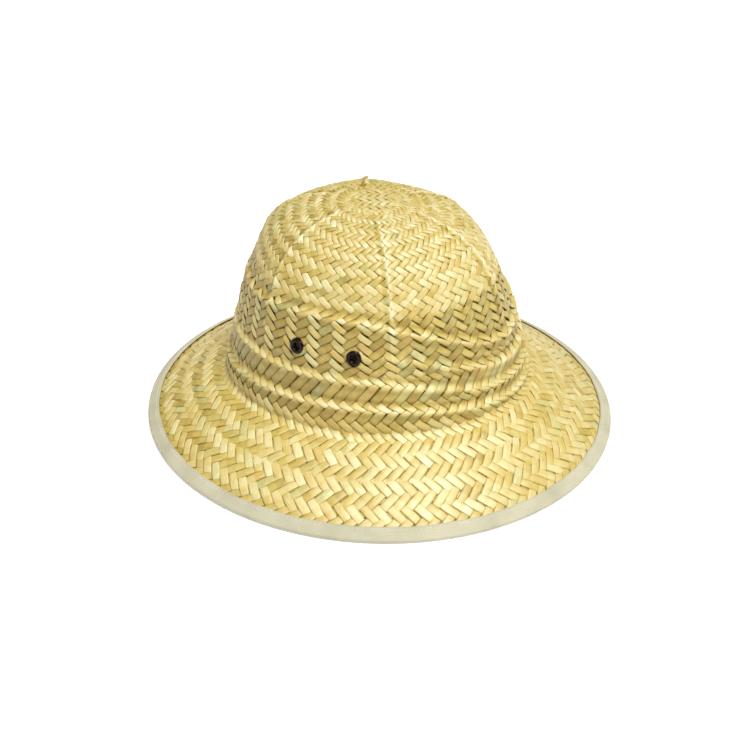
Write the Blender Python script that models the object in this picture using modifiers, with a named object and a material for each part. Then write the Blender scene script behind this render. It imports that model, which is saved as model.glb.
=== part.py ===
"""Plaited straw pith helmet, in metres, +Z up.

The hat rests on the fold of its rim binding at z = 0. Its front faces -Y and the wearer's right is -X.
The origin is the middle of the rim, on the surface that the hat rests on.
An angle round the hat is counted from the front, positive towards the wearer's left (+X).
A rise is a height on the crown as a share: 0 at the foot of the crown, 1 at its top.
"""
import math

import bpy
import numpy as np
from mathutils import Matrix, Vector

MM = 0.001

# Outline of the rim, over the binding
RIM_HALF_LENGTH = 154.9 * MM
RIM_HALF_WIDTH = 147.4 * MM
RIM_SLOPE = math.radians(34)

# Foot of the crown, where it meets the brim
FOOT_HALF_LENGTH = 100.8 * MM
FOOT_HALF_WIDTH = 85.4 * MM
FOOT_HEIGHT = 36.8 * MM
FOOT_TILT = 4.4 * MM
FOOT_CENTRE_Y = 1.75 * MM
BRIM_START_SLOPE = math.radians(22)

# Crown above its foot
CROWN_TOP = 158.4 * MM
TOP_CENTRE_Y = 3.8 * MM
CROWN_TAPER = 0.257
DOME_POWER = 6.8
DOME_ROUNDING = 0.428

# Six pressed ribs on the dome, and how far the panels between them lie inside the round form
RIB_COUNT = 6
RIB_TURN = math.radians(-5.5)
PANEL_SAG = 2.6 * MM
RIBS_START_RISE = 0.35
RIBS_FULL_RISE = 0.65

# The plait and the pleats that are pressed into the lower crown
WALL = 2.2 * MM
PLEAT_DEPTH = 2.5 * MM
LEDGE_RISE = 2.2 * MM
FOLD_ROUNDING = 3.0 * MM

# Cloth tape folded over the edge of the brim. The brim is straight under the tape and a margin beyond it.
TAPE_THICKNESS = 1.0 * MM
TAPE_REACH = 8 * MM
TAPE_LAND = 1.6 * MM
TAPE_CORNER = 0.6 * MM
TAPE_MARGIN = 1.0 * MM

# Metal eyelets, in pairs on both sides of the crown. A pair lies about its centre, an angle from the front,
# with each eyelet turned away from the centre by the spread.
EYELET_RISE = 0.418
EYELET_CENTRE = math.radians(94)
EYELET_SPREAD = math.radians(12.5)
EYELET_FLANGE_RADIUS = 4.9 * MM
EYELET_FLANGE_HEIGHT = 1.3 * MM
EYELET_BORE_RADIUS = 2.35 * MM
EYELET_BARREL = 0.6 * MM
EYELET_SEAT_DEPTH = 0.5 * MM
CUTTER_REACH = 5 * MM

# The bent straw end that stands up at the top
LOOP_RISE = 0.99
LOOP_ANGLE = math.radians(124)
LOOP_RADIUS = 0.9 * MM
LOOP_HEIGHT = 7.5 * MM
LOOP_BEND = 2.6 * MM

CLEARANCE = 0.3 * MM
MERGE_DISTANCE = 0.00001

# Segments round the hat, a multiple of the ribs so that every rib runs along an edge
SEGMENTS_PER_PANEL = 10
SEGMENTS = RIB_COUNT * SEGMENTS_PER_PANEL
EYELET_STEPS = 16
SEAT_STEPS = 24

# One row for each pleat from the top down: its rise at the sides, how much lower it runs at the front and
# at the back, and the depth of its ledge there as a share of PLEAT_DEPTH
PLEAT_COLUMNS = ("side_rise", "front_drop", "back_drop", "front_ledge", "side_ledge", "back_ledge")
PLEATS = (
    (0.603, 0.236, 0.053, 1.00, 0.95, 0.60),
    (0.442, 0.203, 0.000, 1.00, 0.25, 0.20),
    (0.291, 0.156, 0.000, 1.00, 0.85, 0.70),
    (0.148, 0.100, 0.053, 1.00, 1.10, 1.00),
)
PLEAT_POWER = 2.4
# Share of its depth that a pleat's hollow and the underside of its fold keep, inwards and outwards
HOLLOW_SHARE = 0.5
FOLD_SHARE = 0.5
UNDERSIDE_SHARE = 0.45
# Rows of the dome above the highest pleat, as shares of the way from there to the top
DOME_ROWS = (0.14, 0.29, 0.43, 0.56, 0.67, 0.77, 0.855, 0.92, 0.965, 0.992)
# Rows of the brim between the foot of the crown and the tape, as shares of the way
BRIM_ROWS = (0.10, 0.28, 0.52, 0.76, 1.0)

COLLECTION_NAME = "pith_helmet"

MATERIALS = {
    # name: (base colour, roughness, metallic)
    "straw": ((0.72, 0.56, 0.27), 0.62, 0.0),
    "binding_cloth": ((0.80, 0.76, 0.62), 0.85, 0.0),
    "dark_metal": ((0.05, 0.025, 0.02), 0.32, 0.8),
    "straw_end": ((0.50, 0.36, 0.15), 0.65, 0.0),
}


def clear_scene():
    for item in list(bpy.data.objects):
        bpy.data.objects.remove(item, do_unlink=True)


def make_collection(name, wire=False):
    collection = bpy.data.collections.new(name)
    bpy.context.scene.collection.children.link(collection)
    collection.hide_render = wire
    return collection


def make_material(name):
    colour, roughness, metallic = MATERIALS[name]
    material = bpy.data.materials.new(name)
    material.use_nodes = True
    shader = material.node_tree.nodes["Principled BSDF"]
    shader.inputs["Base Color"].default_value = (*colour, 1.0)
    shader.inputs["Roughness"].default_value = roughness
    shader.inputs["Metallic"].default_value = metallic
    return material


def add_object(name, data, collection, material=None):
    item = bpy.data.objects.new(name, data)
    collection.objects.link(item)
    if material:
        data.materials.append(material)
    return item


def by_side(angle, front, side, back, power=2.0):
    """A value that runs from its side value to its front and back values round the hat."""
    towards_front = np.maximum(np.cos(angle), 0.0) ** power
    towards_back = np.maximum(-np.cos(angle), 0.0) ** power
    return side + (front - side) * towards_front + (back - side) * towards_back


def foot_height(angle):
    """The foot of the crown lies in a plane that rises towards the front."""
    return FOOT_HEIGHT + FOOT_TILT * np.cos(angle)


def panel_dip(angle):
    """0 on each rib, 1 midway between two ribs."""
    turn = (angle - RIB_TURN) / (2 * math.pi / RIB_COUNT)
    return np.abs(np.sin(math.pi * turn))


def crown_points(rise, angle, relief=0.0):
    """Points of the crown's outer face: an oval that tapers and rounds over, with flatter panels between
    the ribs of the dome, and a relief that moves the face outwards."""
    girth = (1 - CROWN_TAPER * rise) * np.maximum(1 - rise ** DOME_POWER, 0.0) ** DOME_ROUNDING
    dome_share = np.clip((rise - RIBS_START_RISE) / (RIBS_FULL_RISE - RIBS_START_RISE), 0.0, 1.0)
    outwards = relief - PANEL_SAG * dome_share * panel_dip(angle) * girth
    centre_y = FOOT_CENTRE_Y + (TOP_CENTRE_Y - FOOT_CENTRE_Y) * rise
    x = (FOOT_HALF_WIDTH * girth + outwards) * np.sin(angle)
    y = centre_y - (FOOT_HALF_LENGTH * girth + outwards) * np.cos(angle)
    z = foot_height(angle) * (1 - rise) + CROWN_TOP * rise
    return np.stack(np.broadcast_arrays(x, y, z), axis=-1)


def crown_rows(angles):
    """Rows of the crown from just under the top down to the foot: the dome, then for each pleat the hollow
    above its ledge, the fold, and the rounded underside of the fold."""
    crown_height = CROWN_TOP - FOOT_HEIGHT
    pleats = [dict(zip(PLEAT_COLUMNS, row)) for row in PLEATS]
    folds = []
    for pleat in pleats:
        side = pleat["side_rise"]
        rise = by_side(angles, side - pleat["front_drop"], side, side - pleat["back_drop"], PLEAT_POWER)
        ledge = PLEAT_DEPTH * by_side(angles, pleat["front_ledge"], pleat["side_ledge"], pleat["back_ledge"])
        folds.append((rise, ledge))

    highest_rise, highest_ledge = folds[0]
    hollow_rise = highest_rise + LEDGE_RISE / crown_height
    rows = []
    for share in reversed(DOME_ROWS):
        rise = hollow_rise + (1 - hollow_rise) * share
        rows.append(crown_points(rise, angles, -HOLLOW_SHARE * highest_ledge * (1 - share) ** 3))
    for rise, ledge in folds:
        rows.append(crown_points(rise + LEDGE_RISE / crown_height, angles, -HOLLOW_SHARE * ledge))
        rows.append(crown_points(rise, angles, FOLD_SHARE * ledge))
        rows.append(crown_points(rise - FOLD_ROUNDING / crown_height, angles, UNDERSIDE_SHARE * ledge))
    rows.append(crown_points(np.zeros_like(angles), angles))
    return rows


def tape_section():
    """Section of the folded tape as (out, up) pairs, along the brim's slope and square to it, measured from
    the brim's upper edge. The lower corner is cut to a flat land, level when the hat rests."""
    inner = CLEARANCE
    outer = CLEARANCE + TAPE_THICKNESS
    land_height = TAPE_LAND * math.sin(RIM_SLOPE) * math.cos(RIM_SLOPE)
    land_in = land_height / math.sin(RIM_SLOPE)
    land_up = land_height / math.cos(RIM_SLOPE)
    return (
        (-TAPE_REACH, outer),
        (outer - TAPE_CORNER, outer),
        (outer, outer - TAPE_CORNER),
        (outer, -WALL - outer + land_up),
        (outer - land_in, -WALL - outer),
        (-TAPE_REACH, -WALL - outer),
        (-TAPE_REACH, -WALL - inner),
        (inner, -WALL - inner),
        (inner, inner),
        (-TAPE_REACH, inner),
    )


def slope_to_world(out, up):
    """Distances along and square to the brim's slope, as (outwards, upwards)."""
    outwards = out * math.cos(RIM_SLOPE) + up * math.sin(RIM_SLOPE)
    upwards = -out * math.sin(RIM_SLOPE) + up * math.cos(RIM_SLOPE)
    return outwards, upwards


def rim_edge(angles):
    """Upper edge of the plait under the tape, and the level direction in which the brim runs there."""
    section = [slope_to_world(out, up) for out, up in tape_section()]
    overhang = max(outwards for outwards, upwards in section)
    height = -min(upwards for outwards, upwards in section)
    foot = crown_points(np.zeros_like(angles), angles)
    edge = np.stack([
        (RIM_HALF_WIDTH - overhang) * np.sin(angles),
        -(RIM_HALF_LENGTH - overhang) * np.cos(angles),
        np.full_like(angles, height),
    ], axis=-1)
    heading = edge - foot
    heading[:, 2] = 0.0
    heading /= np.linalg.norm(heading, axis=1, keepdims=True)
    return edge, heading


def brim_rows(angles):
    """Rows of the brim: a curve that leaves the foot of the crown at one slope and reaches the tape at
    another, then a straight band under the tape."""
    foot = crown_points(np.zeros_like(angles), angles)
    edge, heading = rim_edge(angles)
    up = np.array([0.0, 0.0, 1.0])
    band = TAPE_REACH + TAPE_MARGIN
    band_start = edge - heading * band * math.cos(RIM_SLOPE) + up * band * math.sin(RIM_SLOPE)
    chord = np.linalg.norm(band_start - foot, axis=1, keepdims=True)
    leave = chord * (heading * math.cos(BRIM_START_SLOPE) - up * math.sin(BRIM_START_SLOPE))
    arrive = chord * (heading * math.cos(RIM_SLOPE) - up * math.sin(RIM_SLOPE))
    rows = []
    for s in BRIM_ROWS:
        rows.append((2 * s**3 - 3 * s**2 + 1) * foot + (s**3 - 2 * s**2 + s) * leave
                    + (3 * s**2 - 2 * s**3) * band_start + (s**3 - s**2) * arrive)
    rows.append(edge)
    return rows


def loft(name, rows, closed=False, tip=None):
    """Skin of four-sided faces through rows of points that each run round the hat. A closed loft joins its
    last row to its first, and a tip closes the first row with a fan."""
    count = len(rows[0])
    points = np.concatenate(rows)
    ring_count = len(rows) if closed else len(rows) - 1
    faces = []
    for row in range(ring_count):
        below = (row + 1) % len(rows)
        for k in range(count):
            after = (k + 1) % count
            faces.append((row * count + k, below * count + k, below * count + after, row * count + after))
    if tip is not None:
        faces += [(len(points), k, (k + 1) % count) for k in range(count)]
        points = np.concatenate([points, [tip]])
    mesh = bpy.data.meshes.new(name)
    mesh.from_pydata([tuple(point) for point in points], [], faces)
    mesh.validate()
    mesh.shade_smooth()
    mesh.set_sharp_from_angle(angle=math.radians(28))
    return mesh


def turned(name, profile, steps, collection, material=None, ring=False):
    """Turned solid about its own Z. The profile runs down the outer side, and a ring's profile goes on
    round the inside back to its start."""
    mesh = bpy.data.meshes.new(name)
    count = len(profile)
    edges = [(k, k + 1) for k in range(count - 1)]
    if ring:
        edges.append((count - 1, 0))
    mesh.from_pydata([(radius, 0.0, height) for radius, height in profile], edges, [])
    item = add_object(name, mesh, collection, material)
    screw = item.modifiers.new("turn", "SCREW")
    screw.axis = "Z"
    screw.angle = 2 * math.pi
    screw.steps = steps
    screw.render_steps = steps
    screw.use_merge_vertices = True
    screw.merge_threshold = MERGE_DISTANCE
    screw.use_smooth_shade = True
    return item


def crown_frame(rise, angle):
    """Place on the crown with its Z square to the outer face and its Y up the crown."""
    step = 0.002
    here = Vector(crown_points(rise, angle))
    up = Vector(crown_points(rise + step, angle) - crown_points(rise - step, angle)).normalized()
    along = Vector(crown_points(rise, angle + step) - crown_points(rise, angle - step)).normalized()
    outwards = along.cross(up).normalized()
    sideways = up.cross(outwards)
    turn = Matrix((sideways, up, outwards)).transposed()
    return Matrix.Translation(here) @ turn.to_4x4()


def eyelet_places():
    """Name and place of each eyelet, a pair on each side of the crown."""
    places = {}
    for side_name, side in (("right", -1), ("left", 1)):
        for end_name, end in (("front", -1), ("back", 1)):
            angle = side * (EYELET_CENTRE + end * EYELET_SPREAD)
            places[f"eyelet_{side_name}_{end_name}"] = crown_frame(EYELET_RISE, angle)
    return places


def make_seat_cutter(name, place, collection):
    """Spool that cuts the eyelet's hole with a shallow flat seat on each face of the plait."""
    seat_radius = EYELET_FLANGE_RADIUS + CLEARANCE
    hole_radius = EYELET_BORE_RADIUS + EYELET_BARREL + CLEARANCE
    outer_seat = -EYELET_SEAT_DEPTH
    inner_seat = -WALL + EYELET_SEAT_DEPTH
    profile = (
        (0.0, CUTTER_REACH), (seat_radius, CUTTER_REACH),
        (seat_radius, outer_seat), (hole_radius, outer_seat),
        (hole_radius, inner_seat), (seat_radius, inner_seat),
        (seat_radius, -WALL - CUTTER_REACH), (0.0, -WALL - CUTTER_REACH),
    )
    cutter = turned(name, profile, SEAT_STEPS, collection)
    cutter.matrix_world = place
    cutter.hide_render = True
    cutter.display_type = "WIRE"
    return cutter


def make_eyelet(name, place, collection, material):
    """Eyelet of one piece: a rounded flange outside, a barrel through the plait and a curled rim inside."""
    bore = EYELET_BORE_RADIUS
    barrel = bore + EYELET_BARREL
    flange = EYELET_FLANGE_RADIUS
    underside = -EYELET_SEAT_DEPTH + CLEARANCE
    inside_face = -WALL + EYELET_SEAT_DEPTH - CLEARANCE
    top = EYELET_FLANGE_HEIGHT
    profile = (
        (bore, 0.45 * top), (bore + 0.25 * (flange - bore), 0.92 * top), (bore + 0.55 * (flange - bore), top),
        (bore + 0.88 * (flange - bore), 0.62 * top), (flange, 0.1 * top), (flange, underside),
        (barrel, underside), (barrel, inside_face), (flange - 0.2 * bore, inside_face),
        (flange - 0.3 * bore, inside_face - 0.6 * top), (bore, inside_face - 0.6 * top),
    )
    eyelet = turned(name, profile, EYELET_STEPS, collection, material, ring=True)
    eyelet.matrix_world = place
    return eyelet


def make_body(collection, material, cutters, angles):
    """Crown and brim as one plait: the outer face as a loft, given its wall inwards, then cut."""
    tip = crown_points(1.0, 0.0)
    mesh = loft("woven_body", crown_rows(angles) + brim_rows(angles), tip=tip)
    body = add_object("woven_body", mesh, collection, material)
    wall = body.modifiers.new("wall", "SOLIDIFY")
    wall.thickness = WALL
    wall.offset = -1
    wall.use_even_offset = True
    for cutter in cutters:
        cut = body.modifiers.new(cutter.name, "BOOLEAN")
        cut.operation = "DIFFERENCE"
        cut.solver = "EXACT"
        cut.object = cutter
    return body


def make_binding(collection, material, angles):
    """Tape folded over the edge, lofted from one section carried round the rim."""
    edge, heading = rim_edge(angles)
    rows = []
    for out, up in tape_section():
        outwards, upwards = slope_to_world(out, up)
        rows.append(edge + heading * outwards + np.array([0.0, 0.0, upwards]))
    mesh = loft("brim_binding", rows, closed=True)
    return add_object("brim_binding", mesh, collection, material)


def make_crown_loop(collection, material):
    """Bent straw end: a short tube that stands on the dome and leans over at its tip."""
    curve = bpy.data.curves.new("crown_loop", "CURVE")
    curve.dimensions = "3D"
    curve.bevel_depth = LOOP_RADIUS
    curve.bevel_resolution = 2
    curve.use_fill_caps = True
    spline = curve.splines.new("POLY")
    shares = np.linspace(0.0, 1.0, 7)
    spline.points.add(len(shares) - 1)
    for point, share in zip(spline.points, shares):
        height = CLEARANCE + LOOP_HEIGHT * math.sin(0.5 * math.pi * share ** 0.9)
        lean = -LOOP_BEND * share ** 3
        point.co = (lean, 0.0, height, 1.0)
    loop = add_object("crown_loop", curve, collection, material)
    loop.matrix_world = crown_frame(LOOP_RISE, LOOP_ANGLE)
    return loop


def build():
    clear_scene()
    parts = make_collection(COLLECTION_NAME)
    cutter_collection = make_collection("cutters", wire=True)
    materials = {name: make_material(name) for name in MATERIALS}
    angles = RIB_TURN + np.arange(SEGMENTS) * (2 * math.pi / SEGMENTS)

    places = eyelet_places()
    cutters = [make_seat_cutter(f"seat_{name}", place, cutter_collection) for name, place in places.items()]
    bpy.context.view_layer.update()
    make_body(parts, materials["straw"], cutters, angles)
    make_binding(parts, materials["binding_cloth"], angles)
    for name, place in places.items():
        make_eyelet(name, place, parts, materials["dark_metal"])
    make_crown_loop(parts, materials["straw_end"])


build()
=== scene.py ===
# %% [markdown]
# A plaited straw pith helmet.
# The hat is a plait of flat palm strips, pressed over a block: a ribbed dome, four pleats round the lower
# crown and a drooping brim. A cotton tape binds the rim, and dark metal eyelets let air through the crown.
# The solids that are loaded first give every size and place. The looks are built round them here, strip by
# strip, because a real plait is strips that pass over and under each other and no bump map shades like one.

# %% Load the frame
import math

import bpy
import numpy as np
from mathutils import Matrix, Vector


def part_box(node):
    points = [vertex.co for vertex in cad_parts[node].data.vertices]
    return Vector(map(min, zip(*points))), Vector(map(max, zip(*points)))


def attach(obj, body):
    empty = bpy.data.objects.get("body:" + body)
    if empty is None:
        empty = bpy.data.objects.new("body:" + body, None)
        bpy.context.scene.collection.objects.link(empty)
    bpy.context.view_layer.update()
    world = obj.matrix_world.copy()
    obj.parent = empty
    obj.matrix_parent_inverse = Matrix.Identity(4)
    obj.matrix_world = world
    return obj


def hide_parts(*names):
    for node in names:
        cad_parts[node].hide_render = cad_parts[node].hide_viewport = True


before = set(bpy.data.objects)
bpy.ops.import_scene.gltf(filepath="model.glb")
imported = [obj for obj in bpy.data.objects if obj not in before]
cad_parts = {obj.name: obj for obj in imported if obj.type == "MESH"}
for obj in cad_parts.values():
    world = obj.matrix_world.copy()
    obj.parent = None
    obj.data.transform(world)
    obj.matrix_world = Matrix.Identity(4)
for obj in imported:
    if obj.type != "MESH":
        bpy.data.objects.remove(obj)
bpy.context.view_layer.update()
BODY = "root"
MM = 0.001

# %% [markdown]
# The camera comes first, so that every piece can be judged from it.
# It stands off the wearer's right side, a little to the front, about 31 degrees above the floor.
# A long lens from well back keeps the brim's far side nearly as wide as its near side, as in a product photo.

# %% Camera
CAMERA_AZIMUTH = math.radians(-69.6)
CAMERA_ELEVATION = math.radians(31.4)
CAMERA_DISTANCE = 1.4
FOCAL_PIXELS = 2158
FRAME_PIXELS = 750
SENSOR_MM = 36.0
# A point on the crown's axis, and how far right of and above the picture's middle it lies, in pixels
AXIS_POINT = Vector((0.0, 0.00845, 0.0814))
AXIS_PIXEL_RIGHT = -7.9
AXIS_PIXEL_UP = 72.6


def add_camera():
    """Camera at a distance, azimuth and elevation from a point, aimed so that the point lies off centre."""
    away = Vector((
        math.sin(CAMERA_AZIMUTH) * math.cos(CAMERA_ELEVATION),
        -math.cos(CAMERA_AZIMUTH) * math.cos(CAMERA_ELEVATION),
        math.sin(CAMERA_ELEVATION),
    ))
    right = Vector((math.cos(CAMERA_AZIMUTH), math.sin(CAMERA_AZIMUTH), 0.0))
    up = away.cross(right)
    metres_per_pixel = CAMERA_DISTANCE / FOCAL_PIXELS
    aim = AXIS_POINT - (right * AXIS_PIXEL_RIGHT + up * AXIS_PIXEL_UP) * metres_per_pixel
    data = bpy.data.cameras.new("camera")
    data.sensor_width = SENSOR_MM
    data.lens = FOCAL_PIXELS * SENSOR_MM / FRAME_PIXELS
    camera = bpy.data.objects.new("camera", data)
    camera.location = AXIS_POINT + away * CAMERA_DISTANCE
    camera.rotation_euler = (aim - camera.location).to_track_quat("-Z", "Y").to_euler()
    bpy.context.scene.collection.objects.link(camera)
    bpy.context.scene.camera = camera
    return camera


camera = add_camera()
print("camera at", [round(v, 3) for v in camera.location], "lens", round(camera.data.lens, 1), "mm")

# %% [markdown]
# The block is the form that the plait is pressed over. It is a surface of two parameters: an angle counted
# from the front, and a place down the hat from the top to the rim. Its sizes repeat those of the solids.
# A formula is better than reading the solids here, because it stays smooth where their facets would show.

# %% Sizes of the block
UP = np.array([0.0, 0.0, 1.0])
RIM_HALF_LENGTH, RIM_HALF_WIDTH, RIM_SLOPE = 154.9 * MM, 147.4 * MM, math.radians(34)
FOOT_HALF_LENGTH, FOOT_HALF_WIDTH = 100.8 * MM, 85.4 * MM
FOOT_HEIGHT, FOOT_TILT, FOOT_CENTRE_Y = 36.8 * MM, 4.4 * MM, 1.75 * MM
BRIM_START_SLOPE = math.radians(22)
CROWN_TOP, TOP_CENTRE_Y = 158.4 * MM, 3.8 * MM
CROWN_HEIGHT = CROWN_TOP - FOOT_HEIGHT
CROWN_TAPER, DOME_POWER, DOME_ROUNDING = 0.257, 6.8, 0.428
RIB_COUNT, RIB_TURN, PANEL_SAG = 6, math.radians(-5.5), 2.6 * MM
RIBS_START_RISE, RIBS_FULL_RISE, RIBS_END_RISE = 0.35, 0.65, 0.985
CREASE_HEIGHT, CREASE_WIDTH, CREASE_SIDE, CREASE_GROOVE = 1.2 * MM, 1.6 * MM, 2.8 * MM, 0.6
FOLD_BULGE = 0.9 * MM
WALL, PLEAT_DEPTH, LEDGE_RISE, FOLD_ROUNDING = 2.2 * MM, 2.5 * MM, 2.2 * MM, 3.0 * MM
CLEARANCE, TAPE_THICKNESS, TAPE_LAND = 0.3 * MM, 1.0 * MM, 1.6 * MM
TAPE_REACH, TAPE_MARGIN, TAPE_CORNER = 8 * MM, 1.0 * MM, 0.6 * MM

# Each pleat from the top down: the rise of its fold at the sides, how much lower it runs at the front and at the
# back, and the depth of its ledge at the front, the sides and the back as shares of PLEAT_DEPTH
PLEATS = (
    (0.603, 0.236, 0.053, 1.00, 0.95, 0.60),
    (0.442, 0.203, 0.000, 1.00, 0.25, 0.20),
    (0.291, 0.156, 0.000, 1.00, 0.85, 0.70),
    (0.148, 0.100, 0.053, 1.00, 1.10, 1.00),
)
PLEAT_POWER = 2.4
DOME_SINK, FOLD_FOOT = 0.06, 0.45

# Each fold and rib gets a painted highlight line, with painted shade beside it. Painted shade in the hollows beside
# a fold: share, height above the fold, width
FOLD_HIGHLIGHT_WIDTH, RIB_PAINT_WIDTH, RIB_PAINTED_SHADOW = 1.9 * MM, 1.5 * MM, 0.9
SHADED_HOLLOWS = ((0.7, 4.6 * MM, 1.6 * MM), (0.6, -4.2 * MM, 1.8 * MM))


def by_side(angle, front, side, back, power=2.0):
    """side + (front - side) * cos(angle)^power towards the front, and the same with back behind."""
    towards_front = np.maximum(np.cos(angle), 0.0) ** power
    towards_back = np.maximum(-np.cos(angle), 0.0) ** power
    return side + (front - side) * towards_front + (back - side) * towards_back


def bell(distance, width):
    """exp(-(distance / width)^2)"""
    return np.exp(-(distance / width) ** 2)


def girth(rise):
    """Share of the foot's oval that is left at a rise: (1 - taper * rise) * (1 - rise^power)^rounding."""
    return (1 - CROWN_TAPER * rise) * np.maximum(1 - rise ** DOME_POWER, 0.0) ** DOME_ROUNDING


def dome_share(rise):
    """0 below the ribs, 1 where they stand in full, straight between."""
    return np.clip((rise - RIBS_START_RISE) / (RIBS_FULL_RISE - RIBS_START_RISE), 0.0, 1.0)


def folds(angle):
    """Rise and ledge share of each pleat's fold, at angles."""
    for side_rise, front_drop, back_drop, *ledge in PLEATS:
        rise = by_side(angle, side_rise - front_drop, side_rise, side_rise - back_drop, PLEAT_POWER)
        yield rise, by_side(angle, *ledge)


def pleat_relief(rise, angle):
    """Relief of the pleats: straight runs between the hollow above each ledge, its fold and the rounded
    underside of the fold. Run k adds its drop times the share of it that lies above the rise."""
    knots = [(1.0 + 0 * angle, 0 * angle)]
    for fold, ledge_share in folds(angle):
        ledge = PLEAT_DEPTH * ledge_share
        if len(knots) == 1:
            knots.append((fold + 0.5 * (1 - fold), -DOME_SINK * ledge))
        knots.append((fold + LEDGE_RISE / CROWN_HEIGHT, -0.5 * ledge))
        knots.append((fold, 0.5 * ledge))
        knots.append((fold - FOLD_ROUNDING / CROWN_HEIGHT, FOLD_FOOT * ledge))
    knots.append((0.0 * angle, 0.0 * angle))
    relief = 0 * rise + 0 * angle
    for (upper, upper_value), (lower, lower_value) in zip(knots, knots[1:]):
        passed = np.clip((upper - rise) / (upper - lower), 0.0, 1.0)
        relief = relief + (lower_value - upper_value) * passed
    return relief


def rib_distance(rise, angle):
    """Distance to the nearest rib along the crown, below zero on the side towards the back."""
    between = 2 * math.pi / RIB_COUNT
    turn = np.mod(angle - RIB_TURN + between / 2, between) - between / 2
    return turn * girth(rise) * (FOOT_HALF_WIDTH + FOOT_HALF_LENGTH) / 2


def press_and_painted_lines(rise, angle):
    """Press on each fold, and painted light and shade on folds and ribs. Press: ledge share * bell on each fold.
    Fold
    light and shade: the same as a painted highlight, less a bell of painted shade in each hollow beside the fold.
    Rib
    light and shade: a painted highlight bell on each rib, less a painted shadow bell beside it."""
    press = fold_light_shade = 0 * rise + 0 * angle
    for fold, ledge_share in folds(angle):
        share = np.minimum(ledge_share, 1.0)
        height = (rise - fold) * CROWN_HEIGHT
        hollow_shade = sum(depth * bell(height - above, width) for depth, above, width in SHADED_HOLLOWS)
        press = np.maximum(press, share * bell(height, FOLD_ROUNDING))
        fold_light_shade = fold_light_shade + share * (bell(height, FOLD_HIGHLIGHT_WIDTH) - hollow_shade)
    distance = rib_distance(rise, angle)
    beside = RIB_PAINTED_SHADOW * bell(distance + CREASE_SIDE, RIB_PAINT_WIDTH)
    rib_light_shade = dome_share(rise) * (bell(distance, RIB_PAINT_WIDTH) - beside) * (rise < RIBS_END_RISE)
    return np.stack(np.broadcast_arrays(press, fold_light_shade, rib_light_shade), axis=-1)


def foot_height(angle):
    """FOOT_HEIGHT + FOOT_TILT * cos(angle): a plane that rises towards the front."""
    return FOOT_HEIGHT + FOOT_TILT * np.cos(angle)


def crown_points(rise, angle, relief):
    """Oval of half-sizes times girth, moved outwards by the relief and the rib's crease, and inwards between
    the ribs by sag * |sin| of the way from rib to rib. The crease is a bell on the rib with a groove beside it,
    on the side towards the back."""
    narrow = girth(rise)
    dip = np.abs(np.sin((angle - RIB_TURN) * RIB_COUNT / 2))
    distance = rib_distance(rise, angle)
    groove = CREASE_GROOVE * bell(distance + CREASE_SIDE, CREASE_WIDTH)
    crease = CREASE_HEIGHT * (bell(distance, CREASE_WIDTH) - groove)
    outwards = relief + dome_share(rise) * (crease - PANEL_SAG * dip) * np.minimum(narrow * 2, 1)
    centre_y = FOOT_CENTRE_Y + (TOP_CENTRE_Y - FOOT_CENTRE_Y) * rise
    x = (FOOT_HALF_WIDTH * narrow + outwards) * np.sin(angle)
    y = centre_y - (FOOT_HALF_LENGTH * narrow + outwards) * np.cos(angle)
    z = foot_height(angle) * (1 - rise) + CROWN_TOP * rise
    return np.stack(np.broadcast_arrays(x, y, z), axis=-1)


def tape_offsets():
    """How far the tape's fold reaches outwards and downwards of the plait's upper edge."""
    outer = CLEARANCE + TAPE_THICKNESS
    overhang = outer * (math.cos(RIM_SLOPE) + math.sin(RIM_SLOPE)) - TAPE_CORNER * math.sin(RIM_SLOPE)
    land_height = TAPE_LAND * math.sin(RIM_SLOPE) * math.cos(RIM_SLOPE)
    drop = outer * math.sin(RIM_SLOPE) + (WALL + outer) * math.cos(RIM_SLOPE) - land_height
    return overhang, drop


def rim_edge(angle):
    """Upper edge of the plait inside the tape, and the level heading of the brim there."""
    overhang, drop = tape_offsets()
    foot = crown_points(0 * angle, angle, 0 * angle)
    edge = np.stack([
        (RIM_HALF_WIDTH - overhang) * np.sin(angle),
        -(RIM_HALF_LENGTH - overhang) * np.cos(angle),
        0 * angle + drop,
    ], axis=-1)
    heading = (edge - foot) * (1, 1, 0)
    return edge, heading / np.linalg.norm(heading, axis=-1, keepdims=True)


def brim_points(share, angle):
    """Hermite curve (2s^3 - 3s^2 + 1) a + (s^3 - 2s^2 + s) u + (3s^2 - 2s^3) b + (s^3 - s^2) w from the foot a
    to the start b of the straight band under the tape, with end slopes u and w."""
    foot = crown_points(0 * angle, angle, 0 * angle)
    edge, heading = rim_edge(angle)
    band = TAPE_REACH + TAPE_MARGIN
    start = edge - heading * band * math.cos(RIM_SLOPE) + UP * band * math.sin(RIM_SLOPE)
    chord = np.linalg.norm(start - foot, axis=-1, keepdims=True)
    leave = chord * (heading * math.cos(BRIM_START_SLOPE) - UP * math.sin(BRIM_START_SLOPE))
    arrive = chord * (heading * math.cos(RIM_SLOPE) - UP * math.sin(RIM_SLOPE))
    s = share[..., None]
    return ((2 * s**3 - 3 * s**2 + 1) * foot + (s**3 - 2 * s**2 + s) * leave
            + (3 * s**2 - 2 * s**3) * start + (s**3 - s**2) * arrive)


# %% [markdown]
# The block is now sampled on a lattice: one column for each half degree, and rows at equal steps of arc
# length, first down the crown and then out along the brim. Everything that follows asks this lattice for a
# place, by row and angle, and for the direction square to the surface there.

# %% Sample the block
COLUMNS, CROWN_ROWS, BRIM_ROWS = 720, 440, 190
# The formulas are first worked out in finer rows, which crowd at the flat top
FINE_CROWN_ROWS, FINE_BRIM_ROWS, TOP_CROWDING = 900, 300, 2.2
SOFTEN_PASSES = 2
ANGLES = np.arange(COLUMNS) * (2 * math.pi / COLUMNS)


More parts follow.
